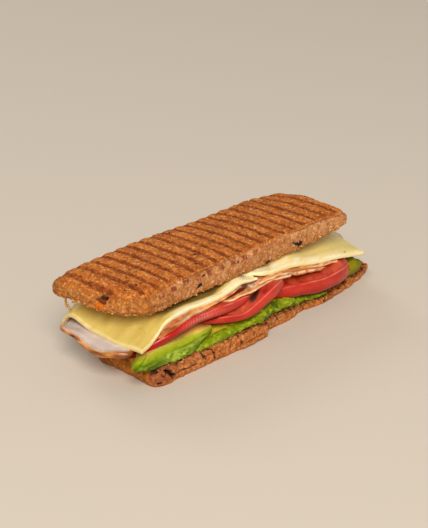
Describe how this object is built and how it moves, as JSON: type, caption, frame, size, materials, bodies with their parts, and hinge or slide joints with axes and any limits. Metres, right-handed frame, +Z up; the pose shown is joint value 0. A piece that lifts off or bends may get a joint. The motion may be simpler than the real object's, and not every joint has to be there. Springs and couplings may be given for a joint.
{
  "type": "grilled turkey sandwich",
  "caption": "Grilled turkey sandwich: two long ribbed brown bread halves round cheese, turkey, tomato and avocado, lying flat.",
  "frame": {"origin": "middle of the sandwich's length and width, on the flat underside of the lower bread, level with the table", "axes": "+X along the bread towards the end where the lower bread reaches further, +Y from the side that shows the fillings towards the opposite long side, +Z up"},
  "size_m": [0.2478, 0.0782, 0.0662],
  "materials": {
    "crust_lower": "matt, brown baked crust",
    "crust_upper": "matt, brown crust with darker grill grooves",
    "avocado_flesh": "soft, slightly oily green flesh",
    "tomato_flesh": "wet red flesh and skin",
    "turkey_meat": "moist pale sliced meat with a browned rim",
    "cheese": "smooth pale yellow, satin"
  },
  "bodies": {
    "root": {"bread_bottom": "crust_lower", "bread_top": "crust_upper", "avocado_1": "avocado_flesh", "avocado_2": "avocado_flesh", "avocado_3": "avocado_flesh", "avocado_4": "avocado_flesh", "avocado_5": "avocado_flesh", "tomato_1": "tomato_flesh", "tomato_2": "tomato_flesh", "tomato_3": "tomato_flesh", "turkey_1": "turkey_meat", "turkey_2": "turkey_meat", "turkey_3": "turkey_meat", "turkey_4": "turkey_meat", "cheese_1": "cheese", "cheese_2": "cheese"}
  },
  "joints": []
}
